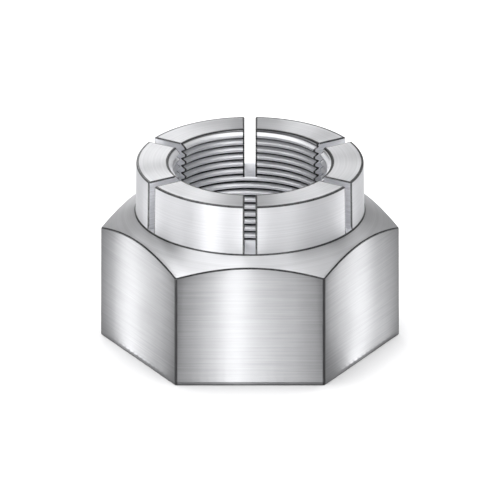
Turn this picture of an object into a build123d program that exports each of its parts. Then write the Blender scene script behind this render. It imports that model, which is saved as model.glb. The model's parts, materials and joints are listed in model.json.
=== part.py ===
# A heavy hexagon lock nut, made in one piece from hexagon bar.
# The top is turned to a cone and a round crown, and the crown is sawn into segments.
# The segments lean in a little towards the bore, so their threads grip the bolt.
# The bore is drawn at the thread's minor diameter, without its fine helical grooves.
# The origin is the centre of the bearing face, +Z runs up the bore,
# and two of the hexagon's flats face -Y and +Y.
import os
from math import cos, pi, radians, tan

from build123d import *

# Driving dimensions, in millimetres and degrees
across_flats = 69.85
nut_height = 50.8
corner_height = 31.4  # from the bearing face to the top of the hexagon's corners
cone_angle = 30.0  # the slope of the cone, from level
corner_round = 0.5  # the bar's rounded long edges

inch = 25.4
thread_diameter = 44.45
threads_per_inch = 12
thread_angle = 60.0
thread_height_share = 0.625  # of the full sharp V, what an internal thread keeps
entry_relief = 0.65  # how far the lower countersink opens past the thread, on the radius
exit_relief = 0.08  # the same for the crown's countersink
countersink_angle = 45.0

crown_diameter = 61.9  # at the crown's foot
crown_lean = 0.15  # how far the top of a segment is set in towards the bore
crown_edge_round = 0.35
crown_foot_round = 0.6
slot_width = 2.96
slot_floor_rise = 0.2  # above the crown's foot

side_count = 6
slots_per_side = 1

# What follows from them
sharp_thread_height = inch / threads_per_inch / 2 / tan(radians(thread_angle / 2))
minor_radius = thread_diameter / 2 - thread_height_share * sharp_thread_height
entry_radius = thread_diameter / 2 + entry_relief
exit_radius = thread_diameter / 2 + exit_relief
corner_radius = across_flats / 2 / cos(pi / side_count)
foot_radius = crown_diameter / 2
cone_slope = tan(radians(cone_angle))
foot_height = corner_height + (corner_radius - foot_radius) * cone_slope
slot_floor = foot_height + slot_floor_rise


def nearest(shape, radius, height):
    """The corner of a half section that lies closest to a radius and a height."""
    return shape.vertices().sort_by_distance((radius, 0, height))[0]


def turned_blank():
    """The lathe's work: the cone, the crown, the bore and its two countersinks, all round."""
    countersink_slope = tan(radians(countersink_angle))
    entry_depth = (entry_radius - minor_radius) * countersink_slope
    top_minor_radius = minor_radius - crown_lean
    exit_depth = (exit_radius - top_minor_radius) * countersink_slope
    crown_radius = foot_radius - crown_lean
    half_section = make_face(
        Polyline(
            (entry_radius, 0, 0),
            (corner_radius, 0, 0),
            (corner_radius, 0, corner_height),
            (foot_radius, 0, foot_height),
            (crown_radius, 0, nut_height),
            (exit_radius, 0, nut_height),
            (top_minor_radius, 0, nut_height - exit_depth),
            (minor_radius, 0, slot_floor),
            (minor_radius, 0, entry_depth),
            close=True,
        )
    )
    half_section = fillet(nearest(half_section, foot_radius, foot_height), crown_foot_round)
    half_section = fillet(nearest(half_section, crown_radius, nut_height), crown_edge_round)
    return revolve(half_section, Axis.Z)


def hexagon_bar():
    """The bar's flats and rounded long edges, from the bearing face to the crown's top."""
    outline = RegularPolygon(corner_radius, side_count)
    outline = fillet(outline.vertices(), corner_round)
    return extrude(outline, nut_height)


def saw_cuts():
    """One slot through the crown's wall in the middle of each flat, with parallel walls and a level floor."""
    reach = foot_radius + slot_width
    depth = nut_height - slot_floor
    cut = Pos(Z=slot_floor) * Box(
        reach, slot_width, depth, align=(Align.CENTER, Align.CENTER, Align.MIN)
    )
    first_flat = 180 / side_count
    places = PolarLocations(reach / 2, side_count * slots_per_side, start_angle=first_flat)
    return [place * cut for place in places]


lock_nut = (turned_blank() & hexagon_bar()) - saw_cuts()

os.makedirs("parts", exist_ok=True)
export_step(lock_nut, "parts/lock_nut.step")
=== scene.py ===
import json
from math import cos, pi, radians, sin, tan

import bmesh
import bpy
import numpy as np
from mathutils import Matrix, Vector


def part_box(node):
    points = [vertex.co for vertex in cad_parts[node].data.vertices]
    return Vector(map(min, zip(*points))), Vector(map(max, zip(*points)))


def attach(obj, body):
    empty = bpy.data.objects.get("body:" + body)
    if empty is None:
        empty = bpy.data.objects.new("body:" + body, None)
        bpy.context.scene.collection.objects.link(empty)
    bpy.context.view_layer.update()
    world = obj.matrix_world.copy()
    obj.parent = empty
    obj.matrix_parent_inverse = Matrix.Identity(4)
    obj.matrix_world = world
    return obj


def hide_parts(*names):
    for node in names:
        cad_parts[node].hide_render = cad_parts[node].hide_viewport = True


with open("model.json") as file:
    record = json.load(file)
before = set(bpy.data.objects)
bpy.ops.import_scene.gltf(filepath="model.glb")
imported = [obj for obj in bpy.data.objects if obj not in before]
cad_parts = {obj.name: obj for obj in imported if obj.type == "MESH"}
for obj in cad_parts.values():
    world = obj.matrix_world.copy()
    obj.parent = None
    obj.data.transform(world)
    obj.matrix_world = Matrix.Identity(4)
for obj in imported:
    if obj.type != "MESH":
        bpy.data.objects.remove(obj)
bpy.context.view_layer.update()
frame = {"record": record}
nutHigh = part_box("lock_nut")[1]
mounts = {mount["name"]: mount for mount in frame["record"]["mounts"]}
toMillimetres = 1000
toMetres = 0.001
print("frame loaded")


# The view faces one flat squarely and looks down on the crown, with no perspective; in metres
# and degrees.
view = {
    "facing": -90,  # the side of the nut that the camera stands on
    "elevation": 23.5,
    "frameWidth": 0.13527,
    "aimHeight": 0.0248,
    "distance": 0.6,
    "nearest": 0.01,  # what is seen lies between these two distances
    "furthest": 10,
}


def toward(azimuth, elevation=0):
    # the unit vector towards an azimuth and an elevation
    level, rise = radians(azimuth), radians(elevation)
    return Vector((cos(level) * cos(rise), sin(level) * cos(rise), sin(rise)))


def makeCamera():
    # the camera stands back from its aim by the distance
    data = bpy.data.cameras.new("viewCamera")
    data.type = "ORTHO"
    data.ortho_scale = view["frameWidth"]
    data.clip_start = view["nearest"]
    data.clip_end = view["furthest"]
    camera = bpy.data.objects.new("viewCamera", data)
    back = toward(view["facing"], view["elevation"])
    camera.location = Vector((0, 0, view["aimHeight"])) + back * view["distance"]
    camera.rotation_euler = (-back).to_track_quat("-Z", "Y").to_euler()
    bpy.context.scene.collection.objects.link(camera)
    bpy.context.scene.camera = camera


makeCamera()
print("camera placed")


# The nut, in millimetres and degrees; what the frame knows is read from it.
nut = {
    "sides": 6,  # of the hexagon, and as many crown segments and slots
    "halfFlats": nutHigh[1] * toMillimetres,
    "height": nutHigh[2] * toMillimetres,
    "boreRadius": mounts["thread"]["dims"]["r_mm"],
    "cornerHeight": 31.4,
    "coneAngle": 30,
    "cornerRound": 0.5,
    "bearingEdge": 0.3,  # the rounding of the edge round the bearing face
    "arcEdge": 0.3,  # the rounding where the cone meets the flats
    "crownRadius": 30.95,
    "crownLean": 0.15,
    "crownEdge": 0.35,
    "footRound": 0.35,
    "slotWidth": 2.96,
    "slotRise": 0.2,  # the slots' floor above the crown's foot
    "slotEdge": 0.3,  # the broken edges of the saw cuts
    "edgeRunout": 0.3,  # the height over which they grow from nothing at the slots' floor
    "entryRadius": 22.875,
    "exitRadius": 22.305,
    "mouthMargin": 0.46,  # the margins of the top face, at the bore and at the rim, painted dark as shade lines
    "rimMargin": 0.36,
    "majorRadius": 22.225,
    "pitch": 25.4 / 12,
    "crestShare": 0.25,  # of the pitch, flat at the thread's crest
    "rootShare": 0.125,
    "easeShare": 0.012,  # of the pitch, from a corner of crest or root to the points that blunt it
}

# How finely the mesh is laid.
meshing = {
    "columnsPerHalf": 11,  # from a segment's broken edge to its middle, without the edge's own
    "columnsPerCorner": 5,
    "edgeSpan": 0.016,  # of half a segment, from its broken edge to the next column
    "cornerSpan": 0.0075,  # of a segment, from its middle to the outer columns of the corner
    "startRadius": 30.0,  # angles are first found at this radius, and then again a few times
    "rounds": 4,
    "levelSnap": 0.02,  # millimetres, thread rows nearer than this to a level end lie on it
    "mergeDistance": 0.002,  # millimetres
    "sharpAngle": 38,  # degrees
}

sector = 2 * pi / nut["sides"]  # the turn of one flat, or of one segment and its slot
firstSlot = sector / 2  # the turn of the first slot's middle, which is also a flat's
halfFlats = nut["halfFlats"]
flatWidth = 2 * halfFlats * tan(sector / 2)
cornerRadius = halfFlats / cos(sector / 2)
coneSlope = tan(radians(nut["coneAngle"]))
footHeight = nut["cornerHeight"] + (cornerRadius - nut["crownRadius"]) * coneSlope
slotFloor = footHeight + nut["slotRise"]
slotHalf = nut["slotWidth"] / 2
threadDepth = nut["majorRadius"] - nut["boreRadius"]
crownTopRadius = nut["crownRadius"] - nut["crownLean"]


def hexRadius(angle):
    # half the flats over the cosine from the flat's middle, and near a corner the far root of the
    # ray through the corner's small circle
    small = nut["cornerRound"]
    away = (angle + sector / 2) % sector - sector / 2  # from the nearest corner
    flat = halfFlats / np.cos(sector / 2 - np.abs(away))
    centre = (halfFlats - small) / cos(sector / 2)
    squared = small**2 - (centre * np.sin(away)) ** 2
    rounded = centre * np.cos(away) + np.sqrt(np.maximum(squared, 0))
    tangent = sector / 2 - np.arctan2((halfFlats - small) * tan(sector / 2), halfFlats)
    return np.where(np.abs(away) < tangent, rounded, flat)


def coneHeight(radius):
    # the cone drops from the crown's foot by its slope
    return footHeight - (radius - nut["crownRadius"]) * coneSlope


def leanAt(height, foot):
    # the crown's lean grows evenly from its foot to its top
    return nut["crownLean"] * np.clip((height - foot) / (nut["height"] - foot), 0, 1)


slotRadius = nut["crownRadius"] - leanAt(slotFloor, footHeight)  # the crown's, at the slots' floor


def boreRadius(angle, height):
    # the thread's crest plus its depth times a trapezoid wave of the height less the helix's climb,
    # opened at both ends by the countersinks' cones
    phase = (height / nut["pitch"] - angle / (2 * pi) + 0.5) % 1 - 0.5
    flank = 0.5 - nut["crestShare"] / 2 - nut["rootShare"] / 2
    wave = np.clip((np.abs(phase) - nut["crestShare"] / 2) / flank, 0, 1)
    thread = nut["boreRadius"] + threadDepth * wave - leanAt(height, slotFloor)
    entry = nut["entryRadius"] - height
    leaving = nut["exitRadius"] - (nut["height"] - height)
    return np.maximum(thread, np.maximum(entry, leaving))


def bend(start, corner, end, t):
    # a quadratic curve from start to end that leaves and arrives along the corner's two sides
    return [(1 - t) ** 2 * a + 2 * t * (1 - t) * b + t**2 * c for a, b, c in zip(start, corner, end)]


def line(start, end, t):
    # a straight run from start to end
    return [(1 - t) * a + t * b for a, b in zip(start, end)]


# Columns run round the nut. Each has a base angle and a share of the arcsine of its side distance
# over its radius, so that the columns beside a slot stay parallel to it.
def slotColumns(middle):
    # across one slot, from wall to wall
    left = [(middle, -1, slotHalf), (middle, -1, slotHalf / 2)]
    return left + [(middle, 1, 0), (middle, 1, slotHalf / 2), (middle, 1, slotHalf)]


def ringColumns():
    # from the middle of the first slot round to itself; a segment's second column stands close to its
    # first, for the margin beside the edge, which is painted dark, and a few stand close together at
    # the corner
    span = meshing["cornerSpan"]
    half = np.linspace(meshing["edgeSpan"], 1, meshing["columnsPerHalf"])
    half = np.concatenate([[0], half]) * (0.5 - span)
    corner = 0.5 + span * np.linspace(-1, 1, meshing["columnsPerCorner"])
    across = np.concatenate([half[:-1], corner, 1 - half[::-1][1:]])
    edge = slotHalf + nut["slotEdge"]
    rows = slotColumns(firstSlot)[2:]
    for k in range(nut["sides"]):
        start = firstSlot + k * sector
        rows += [(start + t * sector, 1 - 2 * t, edge) for t in across]
        rows += slotColumns(start + sector)
    return np.array(rows[:-2])


def angleOf(columns, radius):
    # base angle plus share times arcsine of side distance over radius
    return columns[:, 0] + columns[:, 1] * np.arcsin(columns[:, 2] / radius)


def settledGrid(surface, columns):
    # the surface gives radius and height at an angle; angle and radius hang on each other, so both
    # are found again a few times
    angle = angleOf(columns, meshing["startRadius"])
    for _ in range(meshing["rounds"]):
        radius, height = surface(angle)
        angle = angleOf(columns, radius)
    return np.stack([radius * np.cos(angle), radius * np.sin(angle), height], -1)


def strip(curve, columns, steps):
    # a grid of the curve's steps by the columns
    t = np.linspace(0, 1, steps + 1)[:, None] * np.ones(len(columns))
    return settledGrid(lambda angle: curve(angle, t), columns)


def edgeGrowth(height, low):
    # the broken edges grow evenly from nothing at the slots' floor
    return np.clip((height - low) / nut["edgeRunout"], 0, 1)


def helixStrip(low, high, columns, inset):
    # rows climb with the thread, one pitch a turn, and are cut off level at low and high; the first
    # ones start two turns lower, because their climb reaches over a turn by the last column
    pitch, ease, snap = nut["pitch"], nut["easeShare"], meshing["levelSnap"]
    crest, root = nut["crestShare"] / 2, nut["rootShare"] / 2
    flank = 0.5 - crest - root
    half = [crest - ease, crest + ease, crest + flank / 2, 0.5 - root - ease, 0.5 - root + ease]
    shares = np.array(half + [1 - h for h in half[::-1]])
    turns = np.arange(np.floor(low / pitch) - 2, np.ceil(high / pitch) + 1)
    start = ((turns[:, None] + shares) * pitch).reshape(-1, 1) * np.ones(len(columns))

    def threadAt(angle):
        # the bore's radius where each row's climb brings it
        height = np.clip(start + pitch * angle / (2 * pi), low, high)
        height = np.where(height - low < snap, low, np.where(high - height < snap, high, height))
        return boreRadius(angle, height) + inset * edgeGrowth(height, low), height

    return settledGrid(threadAt, columns)


def makeBody(columns):
    # all below the slots' floor, as grids with the names of their finishes
    edge, arc, foot = nut["bearingEdge"], nut["arcEdge"], nut["footRound"]

    def bearingFace(angle, t):
        # level, from the countersink's mouth out to the edge's rounding
        return line((nut["entryRadius"], 0), (hexRadius(angle) - edge, 0), t)

    def bearingRound(angle, t):
        # from the bearing face round into the flat
        full = hexRadius(angle)
        return bend((full - edge, 0), (full, 0), (full, edge), t)

    def flats(angle, t):
        # upright, from the lower rounding to the arc where the cone starts
        full = hexRadius(angle)
        return line((full, edge), (full, coneHeight(full) - arc), t)

    def arcRound(angle, t):
        # from the flat round into the cone, along the arc that the two meet in
        full = hexRadius(angle)
        top = coneHeight(full)
        return bend((full, top - arc), (full, top), (full - arc, top + arc * coneSlope), t)

    def cone(angle, t):
        # up the slope to the rounding at the crown's foot
        full = hexRadius(angle) - arc
        last = nut["crownRadius"] + foot
        return line((full, coneHeight(full)), (last, coneHeight(last)), t)

    def crownFoot(angle, t):
        # from the cone to the height of the slots' floor, hollow like the turning tool's nose
        last, corner = nut["crownRadius"] + foot, (nut["crownRadius"], footHeight)
        return bend((last, coneHeight(last)), corner, (slotRadius, slotFloor), t)

    # each surface has its number of steps and its finish; the two roundings and the crown's foot are
    # painted dark, as shade lines
    surfaces = (
        (bearingFace, 6, "facedTop"),
        (bearingRound, 3, "brokenEdges"),
        (flats, 10, "groundFlats"),
        (arcRound, 3, "brokenEdges"),
        (cone, 8, "turnedCone"),
        (crownFoot, 4, "brokenEdges"),
    )
    patches = [(strip(curve, columns, steps), finish) for curve, steps, finish in surfaces]
    patches.append((helixStrip(0, slotFloor, columns, 0), "tappedThread"))
    return patches


def makeSegment(columns):
    # one crown segment: its grids from the slots' floor up, in and down again, with the names of
    # their finishes; its first and last column are set in by the broken edges
    rimRadius = crownTopRadius - nut["crownEdge"]
    rimFoot, top = nut["height"] - nut["crownEdge"], nut["height"]
    faceOutside, faceInside = rimRadius - nut["rimMargin"], nut["exitRadius"] + nut["mouthMargin"]
    inset = np.zeros(len(columns))
    inset[[0, -1]] = nut["slotEdge"]

    def crownWall(angle, t):
        # up the wall from the slots' floor, leaning in evenly
        radius, height = line((slotRadius, slotFloor), (crownTopRadius, rimFoot), t)
        return radius - inset * edgeGrowth(height, slotFloor), height

    def crownRim(angle, t):
        # from the wall round into the top face
        start, corner, end = (crownTopRadius, rimFoot), (crownTopRadius, top), (rimRadius, top)
        radius, height = bend(start, corner, end, t)
        return radius - inset * (1 - t), height - inset * t

    def topMargin(angle, t):
        # level, the narrow margin inside the rim
        radius, height = line((rimRadius, top), (faceOutside, top), t)
        return radius, height - inset

    def topFace(angle, t):
        # level, in to the margin at the countersink's mouth
        radius, height = line((faceOutside, top), (faceInside, top), t)
        return radius, height - inset

    def topMouth(angle, t):
        # level still, while the broken edges turn from the face into the bore
        radius, height = line((faceInside, top), (nut["exitRadius"], top), t)
        return radius + inset * t, height - inset * (1 - t)

    # each surface has its number of steps and its finish; the rim's rounding and the top face's two
    # margins are painted dark, as shade lines
    surfaces = (
        (crownWall, 12, "turnedCrown"),
        (crownRim, 4, "brokenEdges"),
        (topMargin, 1, "brokenEdges"),
        (topFace, 8, "facedTop"),
        (topMouth, 1, "brokenEdges"),
    )
    grids = [(strip(curve, columns, steps), finish) for curve, steps, finish in surfaces]
    grids.append((helixStrip(slotFloor, top, columns, inset), "tappedThread"))
    return grids


def sawFloor(angle, t):
    # the floor of a slot: level, from the crown's outside in to the thread
    return line((slotRadius, slotFloor), (boreRadius(angle, slotFloor + 0 * t), slotFloor), t)


def makeNut():
    # the grids with their finishes, and the saw cuts' walls as flat outlines of the segments' sections;
    # the two outer spans on each side of a segment are its broken edge and the margin beside it, both
    # painted dark as shade lines
    sides, spans = nut["sides"], 2
    columns = ringColumns()
    perSector = (len(columns) - 1) // sides
    patches = makeBody(columns)
    segments = []
    for k in range(sides):
        grids = makeSegment(columns[k * perSector + 2:(k + 1) * perSector - 1])
        segments.append([grid for grid, finish in grids])
        for grid, finish in grids:
            patches.append((grid[:, :spans + 1], "brokenEdges"))
            patches.append((grid[:, spans:-spans], finish))
            patches.append((grid[:, -spans - 1:], "brokenEdges"))
    middles = [firstSlot + k * sector for k in range(sides)]
    floors = [strip(sawFloor, np.array(slotColumns(middle)), 5) for middle in middles]
    patches += [(floor, "sawnSlots") for floor in floors]
    walls = []
    for k in range(sides):
        *outside, inside = segments[k]
        for column, floor in ((0, floors[k][:, -1]), (-1, floors[(k + 1) % sides][:, 0])):
            section = [grid[:, column] for grid in outside] + [inside[::-1, column], floor[::-1]]
            walls.append(np.concatenate(section))
    return patches, walls


def buildMesh(name, patches, walls, wallFinish):
    # grids and walls laid side by side, then joined where their points meet; a face keeps its
    # finish's number among the names that are returned with the mesh
    names = list(dict.fromkeys(finish for grid, finish in patches))
    points, faces, slots, count = [], [], [], 0
    for grid, finish in patches:
        rows, columns = grid.shape[:2]
        index = count + np.arange(rows * columns).reshape(rows, columns)
        quads = np.stack([index[:-1, :-1], index[:-1, 1:], index[1:, 1:], index[1:, :-1]], -1)
        points.append(grid.reshape(-1, 3))
        faces += quads.reshape(-1, 4).tolist()
        slots += [names.index(finish)] * ((rows - 1) * (columns - 1))
        count += rows * columns
    for outline in walls:
        points.append(outline)
        faces.append(list(range(count, count + len(outline))))
        slots.append(names.index(wallFinish))
        count += len(outline)
    mesh = bpy.data.meshes.new(name)
    mesh.from_pydata(np.concatenate(points) * toMetres, [], faces)
    mesh.polygons.foreach_set("material_index", slots)
    work = bmesh.new()
    work.from_mesh(mesh)
    bmesh.ops.remove_doubles(work, verts=work.verts, dist=meshing["mergeDistance"] * toMetres)
    bmesh.ops.recalc_face_normals(work, faces=work.faces)
    unclosed = sum(not edge.is_manifold for edge in work.edges)
    volume = work.calc_volume() * toMillimetres**3
    print(name, "faces", len(work.faces), "edges not closed", unclosed, "volume", volume)
    work.to_mesh(mesh)
    work.free()
    mesh.polygons.foreach_set("use_smooth", [True] * len(mesh.polygons))
    mesh.set_sharp_from_angle(angle=radians(meshing["sharpAngle"]))
    return mesh, names


nutMesh, finishNames = buildMesh("threadedNut", *makeNut(), "sawnSlots")
threadedNut = bpy.data.objects.new("threadedNut", nutMesh)
bpy.context.scene.collection.objects.link(threadedNut)
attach(threadedNut, "root")
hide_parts("lock_nut")
print("nut built")


class Signal:
    # a value that runs through a material; arithmetic on it adds Math nodes
    def __init__(self, bench, socket):
        self.bench, self.socket = bench, socket

    def __add__(self, other):
        return self.bench.math("ADD", self, other)

    def __sub__(self, other):
        return self.bench.math("SUBTRACT", self, other)

    def __rsub__(self, other):
        return self.bench.math("SUBTRACT", other, self)

    def __mul__(self, other):
        return self.bench.math("MULTIPLY", self, other)

    def __pow__(self, other):
        return self.bench.math("POWER", self, other)

    __radd__ = __add__
    __rmul__ = __mul__


class Bench:
    # one material, its nodes and its shader
    def __init__(self, name, constants):
        self.material = bpy.data.materials.new(name)
        self.material.use_nodes = True
        self.tree = self.material.node_tree
        self.shader = self.tree.nodes["Principled BSDF"]
        for socket, value in constants.items():
            self.shader.inputs[socket].default_value = value

    def feed(self, socket, value):
        if isinstance(value, Signal):
            self.tree.links.new(value.socket, socket)
        else:
            socket.default_value = value

    def node(self, kind, settings=None, inputs=None, output=0):
        # a node of any kind: its settings first, a ramp's stops among them, then its sockets
        made = self.tree.nodes.new("ShaderNode" + kind)
        for key, value in (settings or {}).items():
            if key == "stops":
                self.setStops(made.color_ramp.elements, value)
            else:
                setattr(made, key, value)
        for key, value in (inputs or {}).items():
            self.feed(made.inputs[key], value)
        return Signal(self, made.outputs[output])

    def setStops(self, elements, stops):
        # a stop is its place and its grey
        while len(elements) < len(stops):
            elements.new(1)
        for element, (place, grey) in zip(elements, stops):
            element.position = place
            element.color = (grey, grey, grey, 1)

    def math(self, operation, *values):
        return self.node("Math", {"operation": operation}, dict(enumerate(values)))

    def ramp(self, value, stops):
        return self.node("ValToRGB", {"stops": stops}, {0: value})

    def mix(self, share, first, second):
        # two colours, which are the node's inputs 6 and 7 and its output 2
        return self.node("Mix", {"data_type": "RGBA"}, {0: share, 6: first, 7: second}, 2)

    def axes(self):
        # the place's x, y and z, in metres
        place = self.node("TexCoord", output="Object")
        return [self.node("SeparateXYZ", None, {0: place}, axis) for axis in range(3)]

    def grain(self, parts, cells, detail):
        # grey noise about a half, with so many cells to the metre along each of three parts
        x, y, z = [part * number for part, number in zip(parts, cells)]
        vector = self.node("CombineXYZ", None, {0: x, 1: y, 2: z})
        return self.node("TexNoise", None, {"Vector": vector, "Scale": 1.0, "Detail": detail})

    def finish(self, color, roughness, height, depth):
        # what changes over the surface: colour, roughness, and a bump of the height's depth in metres
        self.feed(self.shader.inputs["Base Color"], color)
        self.feed(self.shader.inputs["Roughness"], roughness)
        bump = self.node("Bump", None, {"Height": height, "Distance": depth, "Strength": 1.0})
        self.feed(self.shader.inputs["Normal"], bump)
        return self.material


# Every finish has its darkest and lightest grey, its roughness, and how far highlights stretch
# across its marks. Marks and cloud are noise, in cells to the metre along three ways. The marks
# have their share of the shade and the cloud the rest, which is full dark or light by the spread
# to each side of a half; both change the roughness a little, and the marks have a relief in metres.
turnedMarks = {
    "marks": (2200, 2200, 0),
    "detail": 3,
    "cloud": (110, 110, 110),
    "markShare": 0.7,
    "spread": 0.14,
    "markRough": 0.1,
    "cloudRough": 0.06,
    "relief": 0.000004,
}
# The greys differ more than one steel's would: the flats are painted darker and the saw cuts and the
# thread lighter than the turned faces, as painted shade on the upright flats and painted light in the
# cuts and the bore
finishes = {
    # painted darker than the turned steel, as shade on the upright flats
    "groundFlats": {
        "dark": 0.265,
        "light": 0.335,
        "roughness": 0.38,
        "anisotropic": 1.0,
        "marks": (45, 45, 2600),
        "detail": 3,
        "cloud": (90, 90, 160),
        "markShare": 0.65,
        "spread": 0.14,
        "markRough": 0.1,
        "cloudRough": 0.06,
        "relief": 0.000004,
        "paintedShadeFrom": 37.0,  # millimetres from the axis, where the painted shade towards the corners starts
        "ragged": 0.1,  # millimetres, how far the cloud moves that start
        "paintedShadeStops": [(0, 0), (0.93, 0.3), (0.95, 1)],  # how dark the painted shade, by the share of the way to a corner
    },
    "turnedCrown": {"dark": 0.56, "light": 0.645, "roughness": 0.56, "anisotropic": 0.7} | turnedMarks,
    "turnedCone": {"dark": 0.51, "light": 0.59, "roughness": 0.38, "anisotropic": 0.8} | turnedMarks,
    "facedTop": {"dark": 0.55, "light": 0.64, "roughness": 0.35, "anisotropic": 0.92} | turnedMarks,
    "tappedThread": {
        "dark": 0.05,
        "light": 0.95,
        "roughness": 0.56,
        "anisotropic": 0.7,
        "marks": (3000, 60, 3000),
        "detail": 3,
        "markRough": 0.12,
        "relief": 0.000005,
        "ragged": 0.25,  # of the thread's depth, how far the marks move the painted root shade's edge
        "rootShadeStops": [(0.72, 1), (0.92, 0)],  # how far out of the painted root shade, by the share of the thread's depth
    },
    # painted much lighter than the other steel, as light on the deep walls of the cuts
    "sawnSlots": {
        "dark": 0.76,
        "light": 0.9,
        "roughness": 0.75,
        "anisotropic": 0.2,
        "marks": (160, 160, 2600),
        "detail": 3,
        "spread": 0.15,
        "markRough": 0.15,
        "relief": 0.00001,
    },
    # painted near black: the edges' roundings, the margins beside them and the crown's foot show as
    # dark lines that stand in for shade and dark reflections
    "brokenEdges": {
        "dark": 0.06,
        "light": 0.1,
        "roughness": 0.3,
        "anisotropic": 0.0,
        "marks": (900, 900, 900),
        "detail": 2,
        "spread": 0.15,
        "markRough": 0.12,
        "relief": 0.000012,
    },
}
cloudDetail = 2
acrossMarks = 0.25  # quarter of a turn, so that highlights run across marks that go round the nut
steelTint = (0.99, 0.995, 1.02)  # red, green and blue: steel is a little bluer than grey


def steelColor(grey):
    return (*[grey * part for part in steelTint], 1)


def steelBench(name):
    # a finish's material, all metal, with its values
    values = finishes[name]
    stretch = {"Anisotropic": values["anisotropic"], "Anisotropic Rotation": acrossMarks}
    return Bench(name, {"Metallic": 1} | stretch), values


def steelShade(bench, values, noise):
    # from dark to light steel while the noise passes a half
    spread = values["spread"]
    share = bench.ramp(noise, [(0.5 - spread, 0), (0.5 + spread, 1)])
    return bench.mix(share, steelColor(values["dark"]), steelColor(values["light"]))


def markedRoughness(values, marks):
    # a little rougher where the marks' noise is over a half, and smoother below
    return values["roughness"] + values["markRough"] * (marks - 0.5)


def cloudySteel(bench, values, marks, cloud):
    # the colour and the roughness of tool marks over a faint cloudiness
    share = values["markShare"]
    color = steelShade(bench, values, share * marks + (1 - share) * cloud)
    return color, markedRoughness(values, marks) + values["cloudRough"] * (cloud - 0.5)


def groundFlats(name):
    # grinding lines run level along each flat, over a faint cloudiness; painted shade darkens the last
    # millimetres to a corner, and the rounded corner itself is painted near black as a shade line
    bench, values = steelBench(name)
    x, y, z = bench.axes()
    lines = bench.grain((x, y, z), values["marks"], values["detail"])
    cloud = bench.grain((x, y, z), values["cloud"], cloudDetail)
    color, roughness = cloudySteel(bench, values, lines, cloud)
    across = (x * x + y * y) ** 0.5 * toMillimetres
    paintedShadeFrom = values["paintedShadeFrom"]
    reach = (across + values["ragged"] * cloud - paintedShadeFrom) * (1 / (cornerRadius - paintedShadeFrom))
    cornerShadeShare = bench.ramp(reach, values["paintedShadeStops"])
    color = bench.mix(cornerShadeShare, color, steelColor(finishes["brokenEdges"]["dark"]))
    return bench.finish(color, roughness, lines, values["relief"])


def turnedSteel(name):
    # rings that the turning tool left, from the distance to the axis and the height alone
    bench, values = steelBench(name)
    x, y, z = bench.axes()
    across = (x * x + y * y) ** 0.5
    rings = bench.grain((across, z, 0), values["marks"], values["detail"])
    cloud = bench.grain((x, y, z), values["cloud"], cloudDetail)
    color, roughness = cloudySteel(bench, values, rings, cloud)
    return bench.finish(color, roughness, rings, values["relief"])


def tappedThread(name):
    # bright flanks and crests, painted much lighter than the other steel as light inside the bore, and
    # painted shade in the roots
    bench, values = steelBench(name)
    x, y, z = bench.axes()
    across = (x * x + y * y) ** 0.5
    rings = bench.grain((across, x, z), values["marks"], values["detail"])
    depth = (across * toMillimetres - nut["boreRadius"]) * (1 / threadDepth)
    unshaded = bench.ramp(depth + values["ragged"] * (rings - 0.5), values["rootShadeStops"])
    color = bench.mix(unshaded, steelColor(values["dark"]), steelColor(values["light"]))
    return bench.finish(color, markedRoughness(values, rings), rings, values["relief"])


def markedSteel(name):
    # the saw's streaks along a cut, or the small dents in a broken edge, which is painted near black as
    # a shade line
    bench, values = steelBench(name)
    marks = bench.grain(bench.axes(), values["marks"], values["detail"])
    color = steelShade(bench, values, marks)
    return bench.finish(color, markedRoughness(values, marks), marks, values["relief"])


makers = {
    "groundFlats": groundFlats,
    "turnedCrown": turnedSteel,
    "turnedCone": turnedSteel,
    "facedTop": turnedSteel,
    "tappedThread": tappedThread,
    "sawnSlots": markedSteel,
    "brokenEdges": markedSteel,
}
for name in finishNames:
    nutMesh.materials.append(makers[name](name))
print("nut finished")


ground = {
    "reach": 3,  # metres, from the nut to the floor's sides
    "color": (0.6, 0.6, 0.605, 1),
    "roughness": 0.9,
}


def makeFloor():
    # one level square about the nut
    reach = ground["reach"]
    corners = [(-reach, -reach, 0), (reach, -reach, 0), (reach, reach, 0), (-reach, reach, 0)]
    mesh = bpy.data.meshes.new("floor")
    mesh.from_pydata(corners, [], [(0, 1, 2, 3)])
    constants = {"Base Color": ground["color"], "Roughness": ground["roughness"]}
    mesh.materials.append(Bench("paleFloor", constants).material)
    made = bpy.data.objects.new("floor", mesh)
    bpy.context.scene.collection.objects.link(made)
    return made


floor = makeFloor()
print("floor laid")


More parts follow.
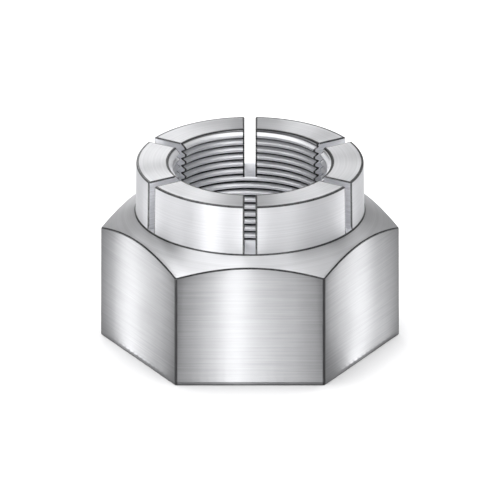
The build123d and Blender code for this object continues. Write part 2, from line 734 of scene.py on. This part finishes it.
# Soft boxes stand far off: azimuth, elevation, width and height in degrees as the nut sees them,
# and brightness. Low boxes stand near the nut, by azimuth and brightness; like the strips they end
# below its top face, which never mirrors them. Strips stand before a flat, where it mirrors them:
# the flat's facing, the share of its width, distance in metres and brightness. A card lies on the
# floor where a flat mirrors it: facing, and brightness at places spread evenly across the flat.
studio = {
    "ambient": 0.3,
    "distance": 0.95,
    "softBoxes": {
        "topLeftBox": (180, 79, 18, 18, 4.0),
        "sideLeftBox": (180, 61, 18, 18, 3.6),
        "topFrontBox": (270, 78, 18, 18, 2.7),
        "frontRightBox": (315, 62, 18, 18, 3.9),
        "sideRightBox": (45, 62, 18, 18, 2.1),
        "highLeftBox": (111, 56, 10, 10, 10.8),
        "rearLeftBox": (120, 46, 10, 10, 4.2),
        "backLeftBox": (104, 34, 10, 10, 5.5),
        "highRightBox": (76, 46, 10, 10, 5.7),
        "rearRightBox": (60, 46, 10, 10, 2.5),
        "backRightBox": (69, 34, 10, 10, 3.3),
        "lowBackBox": (98, 20, 10, 10, 4.5),
    },
    "lowBoxes": {"lowKeyBox": (234, 20.0), "lowFillBox": (306, 5.4), "lowLeftBox": (198, 5.5)},
    "lowDistance": 0.25,
    "lowWidth": 0.061,
    "lowHeight": 0.046,
    "strips": {
        "frontStrip": (-90, 0.4, 0.062, 5.3),
        "leftStrip": (210, 0.55, 0.042, 3.5),
        "rightStrip": (-30, 0.28, 0.046, 3.2),
    },
    "stripWidth": 0.006,
    "stripHeight": 0.05,
    "cards": {
        "frontCard": (-90, (1.0, 1.7, 2.6, 3.8, 3.0, 2.7, 2.0, 1.6, 1.2)),
        "leftCard": (210, (0, 0.35, 1.4, 3.6, 2.6, 2.0, 1.0, 0.9, 0)),
        "rightCard": (-30, (0, 0, 1.4, 3.8, 2.8, 1.6, 1.4, 1.2, 0.3)),
    },
    "cardSteps": 18,
    "cardReach": 0.11,
    "cardHeight": 0.001,
    "groundHeight": 1.2,  # the lamp over the floor, which lights nothing else
    "groundSize": 1.2,
    "groundGlow": 5.2,
}


def makeAir():
    # an even dim light from all round, and a picture without a film's curve
    world = bpy.data.worlds.new("studioAir")
    world.use_nodes = True
    background = world.node_tree.nodes["Background"]
    background.inputs["Color"].default_value = (1, 1, 1, 1)
    background.inputs["Strength"].default_value = studio["ambient"]
    bpy.context.scene.world = world
    bpy.context.scene.view_settings.view_transform = "Standard"


def areaLight(name, place, aim, width, height, glow):
    # power is the wanted brightness times pi times the lamp's area
    data = bpy.data.lights.new(name, "AREA")
    data.shape = "RECTANGLE"
    data.size, data.size_y = width, height
    data.energy = glow * pi * width * height
    lamp = bpy.data.objects.new(name, data)
    lamp.location = place
    lamp.rotation_euler = (Vector(aim) - Vector(place)).to_track_quat("-Z", "Y").to_euler()
    lamp.visible_camera = False
    bpy.context.scene.collection.objects.link(lamp)
    return lamp


def softBox(name, azimuth, elevation, width, height, glow):
    # stands off the nut's middle along its azimuth and elevation, and faces it
    away = studio["distance"]
    middle = Vector((0, 0, nutHigh[2] / 2))
    sizes = [2 * away * tan(radians(angle / 2)) for angle in (width, height)]
    return areaLight(name, middle + away * toward(azimuth, elevation), middle, *sizes, glow)


def lowBox(name, azimuth, glow):
    # stands on the floor and faces the bore's axis
    tall = studio["lowHeight"]
    middle = Vector((0, 0, tall / 2))
    place = middle + studio["lowDistance"] * toward(azimuth)
    return areaLight(name, place, middle, studio["lowWidth"], tall, glow)


def mirrorLine(facing, share):
    # the point at the given share of the flat's width, and the way it mirrors the camera's line:
    # twice the flat's facing less the camera's
    normal = toward(facing)
    along = Vector((-normal.y, normal.x, 0))
    point = (normal * halfFlats + along * (share - 0.5) * flatWidth) * toMetres
    return point, toward(2 * facing - view["facing"])


def mirrorStrip(name, facing, share, distance, glow):
    # stands upright on the floor in the mirrored line and faces the flat
    point, away = mirrorLine(facing, share)
    tall = studio["stripHeight"]
    middle = point + Vector((0, 0, tall / 2))
    return areaLight(name, middle + away * distance, middle, studio["stripWidth"], tall, glow)


def floorCard(name, facing, glows):
    # lamps lie side by side along the mirrored lines, just above the floor, and face up
    steps, reach = studio["cardSteps"], studio["cardReach"]
    width = flatWidth * toMetres / steps * cos(radians(facing - view["facing"]))
    stops = (np.arange(len(glows)) + 0.5) / len(glows)
    down = Vector((0, 0, -1))  # the lamps' own Z, against which they shine
    cards = []
    for number in range(steps):
        share = (number + 0.5) / steps
        point, away = mirrorLine(facing, share)
        place = point + away * reach / 2 + Vector((0, 0, studio["cardHeight"]))
        glow = np.interp(share, stops, glows)
        card = areaLight(f"{name}{number}", place, place - down, width, reach, glow)
        card.rotation_euler = Matrix((away.cross(down), away, down)).transposed().to_euler()
        cards.append(card)
    return cards


def lightOnly(receiver, lamps):
    # these lamps light this one object and nothing else
    only = bpy.data.collections.new(receiver.name + "Only")
    only.objects.link(receiver)
    for lamp in lamps:
        lamp.light_linking.receiver_collection = only


makeAir()
for name, values in studio["softBoxes"].items():
    softBox(name, *values)
nutLamps = [lowBox(name, *values) for name, values in studio["lowBoxes"].items()]
nutLamps += [mirrorStrip(name, *values) for name, values in studio["strips"].items()]
for name, values in studio["cards"].items():
    nutLamps += floorCard(name, *values)
lightOnly(threadedNut, nutLamps)
size = studio["groundSize"]
overhead = (0, 0, studio["groundHeight"])
lightOnly(floor, [areaLight("groundBox", overhead, (0, 0, 0), size, size, studio["groundGlow"])])
print("light set")
